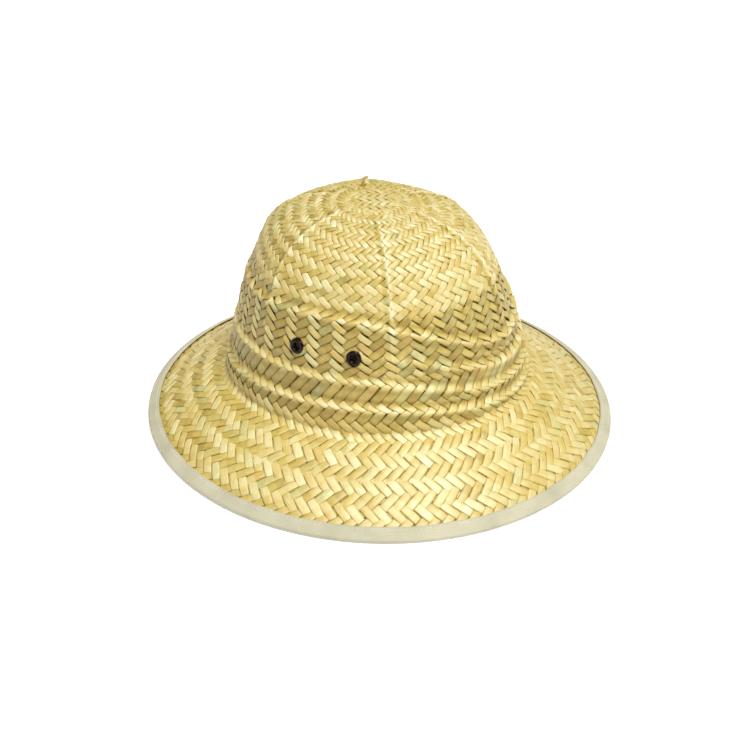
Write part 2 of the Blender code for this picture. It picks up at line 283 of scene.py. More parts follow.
def resample(points, rows):
    """Rows at equal shares of each column's arc length. The columns' shares are laid end to end, so that one
    call of interp reads all of them."""
    steps = np.linalg.norm(np.diff(points[..., :3], axis=0), axis=-1)
    length = np.concatenate([np.zeros((1, points.shape[1])), np.cumsum(steps, axis=0)])
    share = length / length[-1]
    offset = 2.0 * np.arange(points.shape[1])
    known = (share + offset).T.ravel()
    asked = (np.linspace(0, 1, rows)[:, None] + offset).T.ravel()
    columns = [np.interp(asked, known, points[..., k].T.ravel()) for k in range(points.shape[2])]
    return np.stack(columns, axis=-1).reshape(points.shape[1], rows, points.shape[2]).transpose(1, 0, 2)


def soften(points, passes):
    """Each pass replaces a row by 1/4 of the row above + 1/2 of itself + 1/4 of the row below."""
    for _ in range(passes):
        points = np.concatenate([
            points[:1], 0.25 * points[:-2] + 0.5 * points[1:-1] + 0.25 * points[2:], points[-1:],
        ])
    return points


crown_rise = 1 - np.linspace(0, 1, FINE_CROWN_ROWS)[:, None] ** TOP_CROWDING
# Press on the folds, with the painted highlight and shadow lines of folds and ribs, sampled with the block
crown_press_and_paint = press_and_painted_lines(crown_rise, ANGLES)
crown_relief = pleat_relief(crown_rise, ANGLES) + FOLD_BULGE * crown_press_and_paint[..., 0] ** 2
crown_raw = np.concatenate([crown_points(crown_rise, ANGLES, crown_relief), crown_press_and_paint], axis=-1)
brim_share = np.linspace(0, 1, FINE_BRIM_ROWS)[:, None] + 0 * ANGLES
brim_raw = np.concatenate([brim_points(brim_share, ANGLES + 0 * brim_share), rim_edge(ANGLES)[0][None]])
brim_raw = np.concatenate([brim_raw, 0 * brim_raw], axis=-1)
sampled = np.concatenate([resample(crown_raw, CROWN_ROWS), resample(brim_raw, BRIM_ROWS)[1:]])
lattice = soften(sampled[..., :3], SOFTEN_PASSES)
press_and_paint = sampled[..., 3:]
FOOT_ROW = CROWN_ROWS - 1
LAST_ROW = len(lattice) - 1

row_step = np.gradient(lattice, axis=0)
column_step = (np.roll(lattice, -1, axis=1) - np.roll(lattice, 1, axis=1)) / (4 * math.pi / COLUMNS)
row_length = np.linalg.norm(row_step, axis=-1, keepdims=True)
turn_length = np.linalg.norm(column_step, axis=-1, keepdims=True)
normals = np.cross(column_step, -row_step)
normals[0] = UP
normals /= np.linalg.norm(normals, axis=-1, keepdims=True)
print("block lattice", lattice.shape, "top", round(float(lattice[..., 2].max()), 4),
      "points outwards", bool(normals[FOOT_ROW // 2, 0, 1] < 0))


def read(table, row, angle):
    """Value of a lattice table at fractional rows and angles, bilinear between its four neighbours."""
    row = np.clip(row, 0, LAST_ROW - 1e-6)
    column = np.mod(angle, 2 * math.pi) * (COLUMNS / (2 * math.pi))
    r0 = np.floor(row).astype(int)
    c0 = np.floor(column).astype(int)
    r = (row - r0)[..., None]
    c = (column - c0)[..., None]
    c0, c1 = c0 % COLUMNS, (c0 + 1) % COLUMNS
    return ((1 - r) * ((1 - c) * table[r0, c0] + c * table[r0, c1])
            + r * ((1 - c) * table[r0 + 1, c0] + c * table[r0 + 1, c1]))


def on_block(row, angle, height):
    """Block point + height * normal, at rows and angles."""
    normal = read(normals, row, angle)
    normal /= np.linalg.norm(normal, axis=-1, keepdims=True)
    return read(lattice, row, angle) + normal * height[..., None]


# %% [markdown]
# A plait has two families of strips that lean opposite ways and cross on a diamond lattice. Here each strip
# passes over two and under two. Where the crossings of one ring are all alike, the floats lie in rings that
# lean left and right by turns; where they step on from strip to strip, they lie in columns that zigzag round
# the hat. The photo shows rings on the dome and the brim, and columns on the crown's wall.

# %% Plaiting
SAMPLES_PER_ROW = 4
OVER_AND_UNDER, FLOAT_SHARPNESS = 4, 1.6
STRIP_THICKNESS = 0.85 * MM
SHALLOW_WAVE, DEEP_WAVE = 0.50 * MM, 0.92 * MM
PLAIT_DEPTH = 1.0 * MM
TUCK_ROWS = 0.8
FIBRE_UNIT = 4.5 * MM
# Points across a strip, left to right over the top and back below: share of the half-width, and height as a
# share of the thickness
STRIP_SECTION = np.array([
    (-1.0, -0.04), (-0.66, 0.36), (0.0, 0.48), (0.66, 0.36),
    (1.0, -0.04), (0.84, -0.5), (0.0, -0.44), (-0.84, -0.5),
])
CAP_QUADS = ((0, 1, 6, 7), (1, 2, 3, 6), (3, 4, 5, 6))


def make_piece(name, points, faces, uv=None, smooth=True, **values):
    """Object from arrays: points, four-sided faces, a UV for each point and any named value for each point.
    The volume it prints is the sum over triangles of a . (b x c) / 6, above zero where faces point outwards."""
    points = points.reshape(-1, 3)
    mesh = bpy.data.meshes.new(name)
    mesh.vertices.add(len(points))
    mesh.vertices.foreach_set("co", np.ascontiguousarray(points, dtype=np.float32).ravel())
    mesh.loops.add(faces.size)
    mesh.loops.foreach_set("vertex_index", np.ascontiguousarray(faces, dtype=np.int32).ravel())
    mesh.polygons.add(len(faces))
    mesh.polygons.foreach_set("loop_start", np.arange(0, faces.size, 4, dtype=np.int32))
    mesh.polygons.foreach_set("use_smooth", np.full(len(faces), smooth))
    if uv is not None:
        corners = uv.reshape(-1, 2)[faces.ravel()]
        layer = mesh.uv_layers.new(name="strip")
        layer.data.foreach_set("uv", np.ascontiguousarray(corners, dtype=np.float32).ravel())
    for label, value in values.items():
        attribute = mesh.attributes.new(label, "FLOAT", "POINT")
        attribute.data.foreach_set("value", np.ascontiguousarray(value, dtype=np.float32).ravel())
    mesh.update(calc_edges=True)
    piece = bpy.data.objects.new(name, mesh)
    bpy.context.scene.collection.objects.link(piece)
    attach(piece, BODY)
    a, b, c, d = (points[faces[:, k]] for k in range(4))
    volume = np.einsum("ij,ij", a, np.cross(b, c) + np.cross(c, d)) / 6
    print(name, 2 * len(faces), "triangles around", round(float(volume) * 1e6, 3), "cubic centimetres")
    return piece


def ring_faces(rows, columns):
    """Faces of a closed section of rows points, carried round through columns places."""
    here = np.arange(rows)[:, None] * columns
    below = np.roll(here, -1, axis=0)
    column = np.arange(columns)
    beside = np.roll(column, -1)
    return np.stack([here + column, below + column, below + beside, here + beside], axis=-1).reshape(-1, 4)


def tube_faces(alive, across, cap_quads):
    """Faces of many tubes at once. alive says, for each strip and sample, whether the strip is there: two
    neighbours that are alive are joined, and a run of them is capped at both ends."""
    strips, samples = alive.shape
    corner = (np.arange(strips * samples) * across).reshape(strips, samples)
    joined = alive[:, :-1] & alive[:, 1:]
    base = corner[:, :-1][joined][:, None] + np.arange(across)
    turn = corner[:, :-1][joined][:, None] + (np.arange(across) + 1) % across
    faces = [np.stack([base, turn, turn + across, base + across], axis=-1).reshape(-1, 4)]
    before = np.pad(joined, ((0, 0), (1, 0)))
    after = np.pad(joined, ((0, 0), (0, 1)))
    heads = corner[after & ~before]
    tails = corner[before & ~after]
    for quad in cap_quads:
        faces.append(heads[:, None] + np.array(quad[::-1]))
        faces.append(tails[:, None] + np.array(quad))
    return np.concatenate(faces)


def strip_piece(name, points, alive, run, turned_over=False, **values):
    """Strips as one piece, from the points of their sections, the samples that are there, the run along each
    strip for its UV, and the values. turned_over is for a section that is carried the other way round."""
    uv = np.stack(np.broadcast_arrays(0.5 + 0.5 * STRIP_SECTION[:, 0], run[..., None]), axis=-1)
    faces = tube_faces(alive, len(STRIP_SECTION), CAP_QUADS)
    if turned_over:
        faces = faces[:, ::-1]
    values = {label: np.broadcast_to(value, points.shape[:-1]) for label, value in values.items()}
    return make_piece(name, points, faces, uv, **values)


def float_wave(row):
    """tanh(s cos(2 pi (row - 1/2) / 4)) / tanh(s), s being the sharpness: 1 over, -1 under."""
    wave = np.cos(2 * math.pi * (row - 0.5) / OVER_AND_UNDER)
    return np.tanh(FLOAT_SHARPNESS * wave) / math.tanh(FLOAT_SHARPNESS)


def smooth_step(value, start, end):
    """t * t * (3 - 2 t), with t the way from start to end, held between 0 and 1."""
    t = np.clip((value - start) / (end - start), 0.0, 1.0)
    return t * t * (3 - 2 * t)


print("strip section has", len(STRIP_SECTION), "points")

# %% [markdown]
# The eyelets come before the strips, because the strips have to make room for them.
# Each eyelet sits square to the block. A strip that runs into its barrel is cut there, and one that only
# brushes it is pushed aside; the flange hides the cut ends, as it does on the real hat.

# %% Places of the eyelets
EYELET_RISE, EYELET_CENTRE, EYELET_SPREAD = 0.418, math.radians(94), math.radians(12.5)
EYELET_FLANGE_RADIUS, EYELET_FLANGE_HEIGHT = 4.9 * MM, 1.3 * MM
EYELET_BORE_RADIUS, EYELET_BARREL = 2.35 * MM, 0.6 * MM
EYELET_SEAT_DEPTH = 0.5 * MM
BARREL_ROOM = EYELET_BORE_RADIUS + EYELET_BARREL + CLEARANCE
PUSH_REACH = 6.6 * MM


def crown_frame(rise, angle):
    """Centre, sideways, up and outwards directions on the crown, from differences over a small step."""
    step = 0.002

    def point(r, a):
        return crown_points(np.array(r), np.array(a), np.array(0.0))

    up = point(rise + step, angle) - point(rise - step, angle)
    along = point(rise, angle + step) - point(rise, angle - step)
    up /= np.linalg.norm(up)
    outwards = np.cross(along, up)
    outwards /= np.linalg.norm(outwards)
    return point(rise, angle), np.cross(up, outwards), up, outwards


EYELETS = {
    f"eyelet_{side}_{end}": crown_frame(EYELET_RISE, sign * (EYELET_CENTRE + turn * EYELET_SPREAD))
    for side, sign in (("right", -1), ("left", 1))
    for end, turn in (("front", -1), ("back", 1))
}
for name, (centre, *_) in EYELETS.items():
    gap = float(np.linalg.norm(np.mean(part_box(name), axis=0) - centre))
    print(name, "centre", np.round(centre, 4), "is", round(gap * 1000, 2), "mm from the middle of its solid")


def make_room(points):
    """Moves points off each eyelet's axis: a distance d under PUSH_REACH becomes
    room + d * (PUSH_REACH - room) / PUSH_REACH. Also gives the old distance from the nearest axis."""
    nearest = np.full(points.shape[:-1], 1.0)
    for centre, _, _, outwards in EYELETS.values():
        offset = points - centre
        depth = offset @ outwards
        radial = offset - depth[..., None] * outwards
        distance = np.linalg.norm(radial, axis=-1)
        close = (distance < PUSH_REACH) & (np.abs(depth) < PUSH_REACH)
        moved = BARREL_ROOM + distance * (PUSH_REACH - BARREL_ROOM) / PUSH_REACH
        scale = np.where(close, moved / np.maximum(distance, 1e-6), 1.0)
        points = centre + depth[..., None] * outwards + radial * scale[..., None]
        nearest = np.where(close, np.minimum(nearest, distance), nearest)
    return points, nearest


# %% [markdown]
# Zones of the plait, from the top down. Each has its own count of strips in each lean, which grows downwards
# because a strip keeps its width while the hat gets wider. Where the count changes, the old strips dive under
# and the new ones come up from under them, as a plaiter tucks ends in.
# The photo gives the rings their places: the pressing has stretched them on the wall between two pleats and
# squeezed them on the ledges, and in one ring the floats pass over four strips.

# %% Zones of the plait
# Name, strips in each lean, which lean is over first, how deep the plait is from -1, pressed flat, to 1, whether
# floats lie in zigzag columns between the two rows named below, and runs of rings. A run is a number of rings,
# the plait rows in each of them, and the block row where the run ends.
ZONE_COLUMNS = ("name", "strips", "first_lean", "deep", "zigzag", "runs")
ZONES = (
    ("top_plait", 32, 1, 0.0, False, ((2, 2, 57),)),
    ("upper_plait", 48, 1, 0.0, False, ((3, 2, 91),)),
    ("dome_plait", 64, -1, 0.0, True, ((3, 2, 129), (4, 2, 180), (4, 2, 236), (6, 2, 333))),
    ("foot_plait", 76, 1, 0.85, False, ((1, 2, 346), (1, 3, 383), (1, 2, 396), (1, 2, 418), (1, 2, 434))),
    ("brim_plait", 96, 1, -0.4, False, ((1, 2, 450.5), (3, 2, 523.5))),
    ("edge_plait", 104, 1, -0.4, False, ((4, 2, 620),)),
)
TOP_ROW = 33
COLUMNS_START_ROW, COLUMNS_END_ROW, COLUMNS_BLEND_ROWS = 236, 333, 3.5
# A strip's width as a share of the room between its neighbours: everywhere, and in columns for each lean
STRIP_COVER = 0.99
COLUMN_COVER = {1: 0.84, -1: 1.02}
# Tone, with painted light and shade: strips of one lean are painted lighter and the others darker, each lean gets
# a painted sheen on its own side of the hat, the side away from the key light is painted darker, the wall and the
# back get painted shade that is darker and more golden than the dome, the dome is painted lighter, and folds and
# ribs get a painted highlight beside a painted shadow line
LEAN_PAINTED_LIGHT = {1: 0.03, -1: -0.05}
LEAN_PAINTED_SHEEN, SHEEN_ANGLE = 0.07, math.radians(-130)
AWAY_SIDE_PAINTED_SHADE, LIT_SIDE_ANGLE = 0.13, math.radians(-48)
WALL_PAINTED_SHADE, BACK_PAINTED_SHADE, BACK_SHADE_ANGLE, BACK_SHADE_ROWS = 0.22, 0.8, math.radians(-155), (110, 200)
DOME_PAINTED_LIGHT = 0.04
FOLD_PAINTED_LIGHT_SHADE, RIB_PAINTED_LIGHT_SHADE = 0.30, 0.28
# Pressed folds: share of the wave that is lost, and share of the way that a strip's over value goes to over, which
# takes the painted shade under crossings off the folds
PRESSED_FLAT, PRESSED_OVER = 0.45, 0.6
# A plait that is pressed flat: share of the thickness that is lost, and the least depth that sets its painted shade
FLAT_THINNING, LEAST_DEEP = 0.6, -0.25
TABLE_STEP, TABLE_BLUR = 0.05, 21


def zone_plan():
    """For each zone, its rings' plait rows and sharpness, and a table from plait rows to block rows: straight
    runs between the ends of the rings, blurred by a running mean so that a strip doesn't kink there."""
    plan = []
    row = float(TOP_ROW)
    for values in ZONES:
        zone = dict(zip(ZONE_COLUMNS, values))
        block, plait = [row], [0.5]
        for rings, plait_rows, end_row in zone["runs"]:
            block += list(np.linspace(row, end_row, rings + 1)[1:])
            plait += list(plait[-1] + plait_rows * np.arange(1, rings + 1))
            row = float(end_row)
        block, plait = np.array(block), np.array(plait)
        before = (block[1] - block[0]) / (plait[1] - plait[0])
        after = (block[-1] - block[-2]) / (plait[-1] - plait[-2])
        fine = np.arange(plait[0] - 2, plait[-1] + 2, TABLE_STEP)
        straight = np.interp(fine, plait, block)
        straight += before * np.minimum(fine - plait[0], 0) + after * np.maximum(fine - plait[-1], 0)
        padded = np.pad(straight, TABLE_BLUR // 2, "edge")
        blurred = np.convolve(padded, np.full(TABLE_BLUR, 1 / TABLE_BLUR), "valid")
        zone.update(plait=plait, fine=fine, row=blurred)
        plan.append(zone)
        print(zone["name"], zone["strips"], "strips a lean,", len(plait) - 1, "rings, rows",
              round(block[0], 1), "to", block[-1])
    return plan


zones = zone_plan()


def column_share(row):
    """1 where the floats lie in columns, 0 where they lie in rings."""
    step = COLUMNS_BLEND_ROWS
    start = smooth_step(row, COLUMNS_START_ROW - step, COLUMNS_START_ROW + step)
    return start * (1 - smooth_step(row, COLUMNS_END_ROW + step, COLUMNS_END_ROW + 3 * step))


def over_wave(zone, lean, strip, plait_row, row):
    """Height of a strip from -1, under, to 1, over. In rings it is +-tanh(s cos(pi (ring - 1/2))) / tanh(s)
    with s = 0.8 * rows of the ring, alike for all strips. In columns it is lean * wave(lean * row + 2 * strip).
    Past the zone's ends it sinks to -1."""
    ends = zone["plait"]
    ring = np.interp(plait_row, ends, np.arange(len(ends)))
    sharpness = 0.8 * np.interp(plait_row, (ends[1:] + ends[:-1]) / 2, np.diff(ends))
    rings = np.tanh(sharpness * np.cos(math.pi * (ring - 0.5))) / np.tanh(sharpness)
    rings = zone["first_lean"] * lean * rings
    columns = lean * float_wave(lean * plait_row + 2 * strip)
    over = rings + (columns - rings) * column_share(row) * zone["zigzag"]
    outside = np.maximum(ends[0] - plait_row, plait_row - ends[-1])
    return over - (over + 1) * smooth_step(outside, 0.0, TUCK_ROWS)


# %% [markdown]
# One call makes all the strips of one zone and one lean. A strip is a path of rows and angles on the block,
# with a section carried along it. Every strip gets its own tone and hue, each float differs a little, and the
# path wanders slightly, because palm leaf is never even.

# %% Weave the strips
rng = np.random.default_rng(7)


def strip_values(strips, plait_row):
    """Tone and hue of each sample: a value for each strip, one for each float, and a slow change along it."""
    float_index = np.floor((plait_row + 0.5) / 2).astype(int)
    float_index -= float_index.min()
    per_float = rng.normal(0, 1, (strips, float_index.max() + 1))[:, float_index]
    phase = rng.uniform(0, 2 * math.pi, (strips, 1))
    slow = np.sin(plait_row[None, :] * 0.55 + phase)
    tone = 0.5 + 0.055 * rng.normal(0, 1, (strips, 1)) + 0.06 * per_float + 0.03 * slow
    hue = 0.5 + 0.14 * rng.normal(0, 1, (strips, 1)) + 0.10 * rng.normal(0, 1, per_float.shape[:1] + (1,)) * slow
    return tone, np.clip(hue + 0.07 * per_float, 0, 1)


def weave(zone, lean):
    """Strips of one zone that lean one way: angle = 2 pi (k + lean * row / 2) / strips, where k counts the
    strips. Across the strip the section steps square to the path, in block rows and angles."""
    strips = zone["strips"]
    is_last = zone is zones[-1]
    top = zone["plait"][0] - TUCK_ROWS
    bottom = zone["plait"][-1] + (0 if is_last else TUCK_ROWS)
    samples = int(round((bottom - top) * SAMPLES_PER_ROW)) + 1
    plait_row = np.linspace(top, bottom, samples)
    strip = np.arange(strips)[:, None]

    spacing = 2 * math.pi / strips
    wander_phase = rng.uniform(0, 2 * math.pi, (strips, 1))
    wander = 0.035 * np.sin(0.9 * plait_row + wander_phase) + 0.03 * rng.normal(0, 1, (strips, 1))
    angle = spacing * (strip + lean * plait_row / 2 + wander)
    row = np.broadcast_to(np.interp(plait_row, zone["fine"], zone["row"]), angle.shape)

    step_down = read(row_length, row, angle)[..., 0]
    step_round = read(turn_length, row, angle)[..., 0]
    down = np.gradient(row, axis=1) * step_down
    sideways = np.gradient(angle, axis=1) * step_round
    length = np.hypot(down, sideways)
    down, sideways = down / length, sideways / length

    over = over_wave(zone, lean, strip, plait_row, row)
    in_columns = column_share(row) * zone["zigzag"]
    deep = zone["deep"] + (1 - zone["deep"]) * in_columns
    press = read(press_and_paint, row, angle)[..., 0]
    cover = STRIP_COVER + (COLUMN_COVER[lean] - STRIP_COVER) * in_columns
    width = cover * spacing * step_round * down * (1 + 0.03 * rng.normal(0, 1, (strips, 1)))
    width = np.clip(width, 0.6 * MM, 7 * MM) * (1.0 + 0.04 * over)
    across = STRIP_SECTION[:, 0] * width[..., None] / 2
    section_row = row[..., None] + across * sideways[..., None] / step_down[..., None]
    section_angle = angle[..., None] - across * down[..., None] / step_round[..., None]
    float_rise = 0.08 * MM * rng.normal(0, 1, (strips, samples // SAMPLES_PER_ROW + 2))
    float_rise = float_rise[:, np.arange(samples) // (2 * SAMPLES_PER_ROW)]
    wave = (SHALLOW_WAVE + (DEEP_WAVE - SHALLOW_WAVE) * deep) * (1 - PRESSED_FLAT * press)
    rise = -PLAIT_DEPTH + wave * over + np.where(over > 0, float_rise * over, 0)
    thickness = STRIP_THICKNESS * (1 + FLAT_THINNING * np.minimum(deep, 0))
    height = rise[..., None] + STRIP_SECTION[:, 1] * thickness[..., None]
    points = on_block(section_row, section_angle, height)

    points, distance = make_room(points)
    centre_distance = distance[..., [2, 6]].min(axis=-1)
    straddles = (centre_distance.min(axis=1, keepdims=True) < 0.5 * width.mean())
    alive = ~(straddles & (centre_distance < BARREL_ROOM))

    tone, hue = strip_values(strips, plait_row)
    # Painted light and shade in the tone: lighter and darker strips by lean, a painted sheen, painted shade away
    # from the lit side, on the wall and at the back, a lighter painted dome, and painted highlight and shadow lines
    # on folds and ribs
    tone = tone + LEAN_PAINTED_LIGHT[lean] * (1 + in_columns) + LEAN_PAINTED_SHEEN * lean * np.cos(angle - SHEEN_ANGLE)
    tone = tone - AWAY_SIDE_PAINTED_SHADE * (1 - np.cos(angle - LIT_SIDE_ANGLE)) / 2
    back = np.maximum(np.cos(angle - BACK_SHADE_ANGLE), 0) ** 2 * (row < FOOT_ROW)
    back = back * smooth_step(row, *BACK_SHADE_ROWS)
    tone = tone - WALL_PAINTED_SHADE * np.maximum(deep, BACK_PAINTED_SHADE * back)
    tone = tone + DOME_PAINTED_LIGHT * (row < COLUMNS_START_ROW)
    _, fold_light_shade, rib_light_shade = np.moveaxis(read(press_and_paint, section_row, section_angle), -1, 0)
    tone = tone[..., None] + FOLD_PAINTED_LIGHT_SHADE * fold_light_shade + RIB_PAINTED_LIGHT_SHADE * rib_light_shade
    over = over + (1 - over) * PRESSED_OVER * press
    run = np.cumsum(length, axis=1) / FIBRE_UNIT + rng.uniform(0, 50, (strips, 1))
    side = "left" if lean > 0 else "right"
    piece = strip_piece(
        f"{zone['name']}_{side}_lean", points, alive, run, tone=tone, hue=hue[..., None],
        over=over[..., None], deep=np.maximum(deep, LEAST_DEEP)[..., None],
    )
    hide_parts("woven_body")
    print("strips", round(float(width.mean()) * 1000, 2), "mm wide")
    return piece


plaits = [weave(zone, lean) for zone in zones for lean in (1, -1)]

# %% [markdown]
# The spiral strips can't reach the very top, where they would shrink to nothing. On the real hat the plait
# starts there, as a small flat patch of straight strips that cross at right angles. The same section is
# carried along straight lines in plan, which are laid on the dome by way of their distance from its middle.

# %% Starting patch at the top
PATCH_RADIUS = 17 * MM
PATCH_STRIPS = 9
PATCH_TURN = math.radians(24)
PATCH_SAMPLES = 40

upper_rows = np.arange(FOOT_ROW // 2)
centre_y = lattice[..., 1].mean(axis=1, keepdims=True)
upper_radius = np.hypot(lattice[..., 0], lattice[..., 1] - centre_y).mean(axis=1)[:len(upper_rows)]


def weave_patch(lean):
    """Straight strips across the top, evenly spaced, over two and under two, each row shifted by one."""
    top = lattice[0].mean(axis=0)
    spacing = 2 * PATCH_RADIUS / PATCH_STRIPS
    offset = (np.arange(PATCH_STRIPS) - (PATCH_STRIPS - 1) / 2)[:, None] * spacing
    half = np.sqrt(np.maximum(PATCH_RADIUS**2 - offset**2, (3 * MM) ** 2))
    along = np.linspace(-1, 1, PATCH_SAMPLES) * half
    over = lean * float_wave((along + lean * offset) / spacing)
    turn = PATCH_TURN + (math.pi / 4 if lean > 0 else -math.pi / 4)
    across = STRIP_SECTION[:, 0] * 0.47 * spacing
    line = along[..., None] + 0 * across
    side = -(offset[..., None] + across) + 0 * line
    x = line * math.cos(turn) - side * math.sin(turn)
    y = line * math.sin(turn) + side * math.cos(turn)
    angle = np.arctan2(x, -y)
    radius = np.hypot(x, y)
    row = np.interp(radius, upper_radius, upper_rows)
    ends = 0.5 * MM * np.clip((np.abs(along) / half - 0.8) / 0.2, 0, 1)
    height = (-PLAIT_DEPTH + SHALLOW_WAVE * over - ends)[..., None] + STRIP_SECTION[:, 1] * STRIP_THICKNESS
    surface = on_block(row, angle, height)
    points = np.stack([x + top[0], y + top[1], surface[..., 2]], axis=-1)
    tone, hue = strip_values(PATCH_STRIPS, np.linspace(0, 10, PATCH_SAMPLES))
    name = "top_patch_left_lean" if lean > 0 else "top_patch_right_lean"
    piece = strip_piece(
        name, points, np.ones(along.shape, bool), along / FIBRE_UNIT, tone=tone[..., None],
        hue=hue[..., None], over=over[..., None], deep=0.0,
    )
    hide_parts("woven_body")
    return piece


patches = [weave_patch(1), weave_patch(-1)]
print("top patch:", len(patches[0].data.polygons) * 4, "triangles")

# %% [markdown]
# Materials are written as sums and products. A small class wraps a shader socket, so that `1 - mask` adds a
# Math node, and one method makes every other node from its type, its settings and its inputs.

# %% Shader helper
class Socket:
    """An output of a shader node that can be added, subtracted, multiplied, divided and raised."""

    def __init__(self, shade, output):
        self.shade = shade
        self.output = output

    def _math(self, operation, first, second):
        return self.shade.node("ShaderNodeMath", {"operation": operation}, {0: first, 1: second})

    def __add__(self, other):
        return self._math("ADD", self, other)

    __radd__ = __add__

    def __sub__(self, other):
        return self._math("SUBTRACT", self, other)

    def __rsub__(self, other):
        return self._math("SUBTRACT", other, self)

    def __mul__(self, other):
        return self._math("MULTIPLY", self, other)

    __rmul__ = __mul__

    def __truediv__(self, other):
        return self._math("DIVIDE", self, other)

    def __pow__(self, other):
        return self._math("POWER", self, other)


class Shade:
    """A material's node tree with its Principled shader."""

    def __init__(self, name):
        self.material = bpy.data.materials.new(name)
        self.material.use_nodes = True
        self.tree = self.material.node_tree
        self.shader = self.tree.nodes["Principled BSDF"]

    def node(self, kind, settings=None, inputs=None, output=0):
        """Makes a node: settings first, then a value or link for each input, and gives one output."""
        made = self.tree.nodes.new(kind)
        for key, value in (settings or {}).items():
            if key == "stops":
                self._fill_ramp(made.color_ramp, value)
            else:
                setattr(made, key, value)
        for key, value in (inputs or {}).items():
            self.join(made.inputs[key], value)
        return Socket(self, made.outputs[output])

    def _fill_ramp(self, ramp, stops):
        while len(ramp.elements) < len(stops):
            ramp.elements.new(0.5)
        for element, (position, colour) in zip(ramp.elements, stops):
            element.position = position
            element.color = (*colour, 1.0)

    def join(self, target, value):
        if isinstance(value, Socket):
            self.tree.links.new(value.output, target)
        else:
            target.default_value = value

    def blend(self, share, first, second, mode="MIX"):
        """Colour mix of first and second by share."""
        return self.node("ShaderNodeMix", {"data_type": "RGBA", "blend_type": mode},
                         {0: share, 6: first, 7: second}, output=2)

    def attribute(self, name):
        return self.node("ShaderNodeAttribute", {"attribute_name": name}, output=2)

    def shape(self, **inputs):
        """Sets or links the Principled shader's own sockets."""
        for key, value in inputs.items():
            self.join(self.shader.inputs[key.replace("_", " ")], value)
        return self.material


# %% [markdown]
# Palm straw: each strip runs from pale cream through gold to olive green, with fine fibres along its length.
# The fibres are a noise that is stretched along the strip's own UV, so they turn with every strip.

# %% Straw
def rgb(*values):
    return (*values, 1.0)


# Stops of each ramp, from a dark strip to a pale one
GOLD_STOPS = (
    (0.05, (0.36, 0.25, 0.035)), (0.35, (0.60, 0.455, 0.105)),
    (0.58, (0.73, 0.605, 0.25)), (0.90, (0.88, 0.80, 0.50)),
)
GREEN_STOPS = (
    (0.05, (0.30, 0.28, 0.08)), (0.35, (0.52, 0.49, 0.18)),
    (0.65, (0.74, 0.69, 0.33)), (0.95, (0.88, 0.85, 0.56)),
)
RUST = rgb(0.66, 0.42, 0.12)
# Brown of the painted shade at strip edges and where strips dive under
SHADE_BROWN = rgb(0.10, 0.07, 0.015)


def straw_material():
    """Colour from tone, fibres and blotches on a gold and a green ramp, with painted shade at a strip's edges and
    where it
    dives under: base * (1 - edge * |2 u - 1|^5) * (1 - dark * under), with edge = 0.08 + 0.32 * deep and
    dark = 0.12 + 0.42 * deep, painted darker where a deep plait keeps more light out of its hollows."""
    shade = Shade("palm_straw")
    uv = shade.node("ShaderNodeUVMap", {"uv_map": "strip"})
    fibre_place = shade.node("ShaderNodeVectorMath", {"operation": "MULTIPLY"}, {0: uv, 1: (3.4, 0.40, 1.0)})
    fibres = shade.node("ShaderNodeTexNoise", inputs={"Vector": fibre_place, "Scale": 2.2, "Detail": 4.0})
    blotch_place = shade.node("ShaderNodeVectorMath", {"operation": "MULTIPLY"}, {0: uv, 1: (1.2, 0.5, 1.0)})
    blotches = shade.node("ShaderNodeTexNoise", inputs={"Vector": blotch_place, "Scale": 1.3, "Detail": 2.0})
    tone, hue, over = shade.attribute("tone"), shade.attribute("hue"), shade.attribute("over")
    deep = shade.attribute("deep")
    level = tone + (fibres - 0.5) * 0.46 + (blotches - 0.5) * 0.30
    gold = shade.node("ShaderNodeValToRGB", {"stops": GOLD_STOPS}, {"Fac": level})
    green = shade.node("ShaderNodeValToRGB", {"stops": GREEN_STOPS}, {"Fac": level})
    greenness = shade.node("ShaderNodeMapRange", inputs={"Value": hue, "From Min": 0.55, "From Max": 0.95})
    rust = shade.node("ShaderNodeMapRange", inputs={"Value": hue, "From Min": 0.26, "From Max": 0.02, "To Max": 0.4})
    colour = shade.blend(greenness, gold, green)
    colour = shade.blend(rust, colour, RUST)
    u = shade.node("ShaderNodeSeparateXYZ", inputs={0: uv})
    from_middle = shade.node("ShaderNodeMath", {"operation": "ABSOLUTE"}, {0: u * 2 - 1})
    under = shade.node("ShaderNodeMapRange", inputs={"Value": over, "From Min": 0.45, "From Max": -0.6})
    light = (1 - from_middle ** 5 * (0.08 + 0.32 * deep)) * (1 - under * (0.12 + 0.42 * deep))
    # Painted shade: edges and dived-under parts are mixed towards the shade brown
    colour = shade.blend(1 - light, colour, SHADE_BROWN)
    bump = shade.node("ShaderNodeBump", inputs={"Strength": 0.35, "Distance": 0.0002, "Height": fibres})
    return shade.shape(Base_Color=colour, Roughness=0.36 + 0.25 * fibres, Specular_IOR_Level=0.85, Normal=bump)


straw = straw_material()
for piece in plaits + patches:
    piece.data.materials.append(straw)
print("straw on", len(plaits + patches), "pieces")

# %% [markdown]
# The binding is a cotton tape, folded over the cut edge of the brim and sewn through. A flat section would
# look like plastic trim, so its section is a rounded fold, the stitches pull a shallow groove into it, and
# its inner edge puckers a little between them.

# %% Binding tape
STITCH_COUNT = 304
STITCH_INSET = 2.0 * MM
GROOVE_DEPTH, GROOVE_WIDTH = 0.22 * MM, 0.55 * MM
PUCKER_HEIGHT, EDGE_WAVE = 0.10 * MM, 0.28 * MM
UPPER_ROUND, LOWER_ROUND = 1.5 * MM, 1.91 * MM
RIM_SAMPLES = 4 * STITCH_COUNT
FLAT_POINTS, ARC_POINTS = 10, 6


def even_angles(count):
    """Angles that divide the rim's length into equal parts."""
    fine = np.linspace(0, 2 * math.pi, 4001)
    edge, _ = rim_edge(fine)
    length = np.concatenate([[0.0], np.cumsum(np.linalg.norm(np.diff(edge, axis=0), axis=1))])
    return np.interp(np.arange(count) * length[-1] / count, length, fine), float(length[-1])


